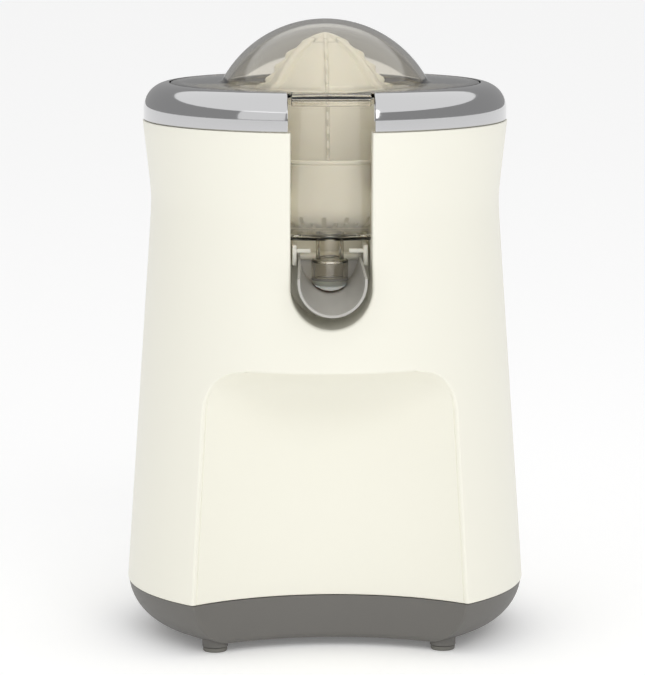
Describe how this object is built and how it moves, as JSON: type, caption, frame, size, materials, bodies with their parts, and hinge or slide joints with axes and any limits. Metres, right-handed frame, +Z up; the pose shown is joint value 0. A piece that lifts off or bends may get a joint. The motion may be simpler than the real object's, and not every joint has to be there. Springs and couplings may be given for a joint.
{
  "type": "citrus press juicer",
  "caption": "Electric citrus press with an ivory housing, chromed ring, smoke-clear bowl and lid, ribbed cone on a driven shaft, and a tilting drip lip over a bay for a glass.",
  "frame": {"origin": "on the table under the cone's axis, in the middle of the footprint", "axes": "+Z up, -Y to the front where the spout and the glass are, +X to the right seen from the front"},
  "size_m": [0.195, 0.1953, 0.3],
  "materials": {
    "ivory_shell": "glossy moulded ABS",
    "chromed_trim": "polished chrome plating",
    "base_grey": "fine satin moulding",
    "smoke_clear": "clear smoke-tinted moulding",
    "ivory_food": "satin food-grade moulding",
    "silver_grey": "satin silver-grey moulding",
    "dark_rubber": "matt rubber",
    "pale_silicone": "matt silicone",
    "steel": "plain steel",
    "bearing_bronze": "sintered bronze",
    "acetal": "moulded acetal",
    "copper_wire": "enamelled copper wire",
    "laminations": "stacked steel sheets"
  },
  "bodies": {
    "stand": {"base": "base_grey", "base_screw_1": "steel", "base_screw_2": "steel", "base_screw_3": "steel", "base_screw_4": "steel", "chrome_ring": "chromed_trim", "coil_left": "copper_wire", "coil_right": "copper_wire", "cord_gland": "dark_rubber", "deck_screw_1": "steel", "deck_screw_2": "steel", "deck_screw_3": "steel", "deck_screw_4": "steel", "drive_deck": "ivory_shell", "foot_front_left": "dark_rubber", "foot_front_right": "dark_rubber", "foot_rear_left": "dark_rubber", "foot_rear_right": "dark_rubber", "gearbox_case": "acetal", "gearbox_plate": "steel", "gearbox_screw_1": "steel", "gearbox_screw_2": "steel", "gearbox_screw_3": "steel", "housing": "ivory_shell", "intermediate_axle": "steel", "lower_bush": "bearing_bronze", "lower_motor_bush": "bearing_bronze", "lower_motor_spacer_1": "steel", "lower_motor_spacer_2": "steel", "motor_bolt_1": "steel", "motor_bolt_2": "steel", "motor_bracket": "steel", "shaft_seal": "dark_rubber", "stator_core": "laminations", "switch_body": "base_grey", "switch_bracket": "steel", "upper_bush": "bearing_bronze", "upper_motor_bush": "bearing_bronze", "upper_motor_spacer_1": "steel", "upper_motor_spacer_2": "steel"},
    "output_drive": {"output_gear": "acetal", "return_spring": "steel"},
    "shaft": {"drive_shaft": "steel", "shaft_collar": "steel"},
    "cone": {"reamer_cone": "ivory_food", "cone_socket": "steel"},
    "layshaft": {"intermediate_gear": "acetal"},
    "motor": {"motor_rotor": "laminations", "motor_shaft": "steel", "motor_pinion": "acetal"},
    "button": {"switch_button": "ivory_food"},
    "bowl": {"juice_bowl": "smoke_clear", "strainer": "ivory_food", "outlet_gasket": "dark_rubber", "spout_yoke": "ivory_food"},
    "lid": {"lid": "smoke_clear"},
    "spout": {"spout_lip": "silver_grey", "spout_seal": "pale_silicone"}
  },
  "joints": [
    {"name": "bowl_lift", "type": "slide", "parent": "stand", "child": "bowl", "axis": [0, 0, 1], "range_m": [0, 0.11]},
    {"name": "lid_lift", "type": "slide", "parent": "bowl", "child": "lid", "axis": [0, 0, 1], "range_m": [0, 0.06]},
    {"name": "spout_tilt", "type": "hinge", "parent": "bowl", "child": "spout", "pos_m": [0, -0.0515, 0.1903], "axis": [-1, 0, 0], "range_deg": [0, 6]},
    {"name": "drive_spin", "type": "hinge", "parent": "stand", "child": "output_drive", "pos_m": [0, 0, 0.165], "axis": [0, 0, 1], "continuous": true},
    {"name": "layshaft_spin", "type": "hinge", "parent": "stand", "child": "layshaft", "pos_m": [0.02595, 0.02495, 0.152], "axis": [0, 0, 1], "continuous": true},
    {"name": "motor_spin", "type": "hinge", "parent": "stand", "child": "motor", "pos_m": [0, 0.04, 0.086], "axis": [0, 0, 1], "continuous": true},
    {"name": "shaft_press", "type": "slide", "parent": "output_drive", "child": "shaft", "axis": [0, 0, -1], "range_m": [0, 0.0025], "stiffness_N_per_m": 2000, "springref_m": -0.004, "deforming": ["return_spring"]},
    {"name": "cone_lift", "type": "slide", "parent": "shaft", "child": "cone", "axis": [0, 0, 1], "range_m": [0, 0.11]},
    {"name": "switch_press", "type": "slide", "parent": "stand", "child": "button", "axis": [0, 0, -1], "range_m": [0, 0.0025]}
  ],
  "couplings": [
    {"joint": "layshaft_spin", "follows": "drive_spin", "ratio": -5},
    {"joint": "motor_spin", "follows": "drive_spin", "ratio": 20},
    {"joint": "cone_lift", "follows": "bowl_lift", "ratio": 1},
    {"joint": "switch_press", "follows": "shaft_press", "ratio": 1}
  ]
}
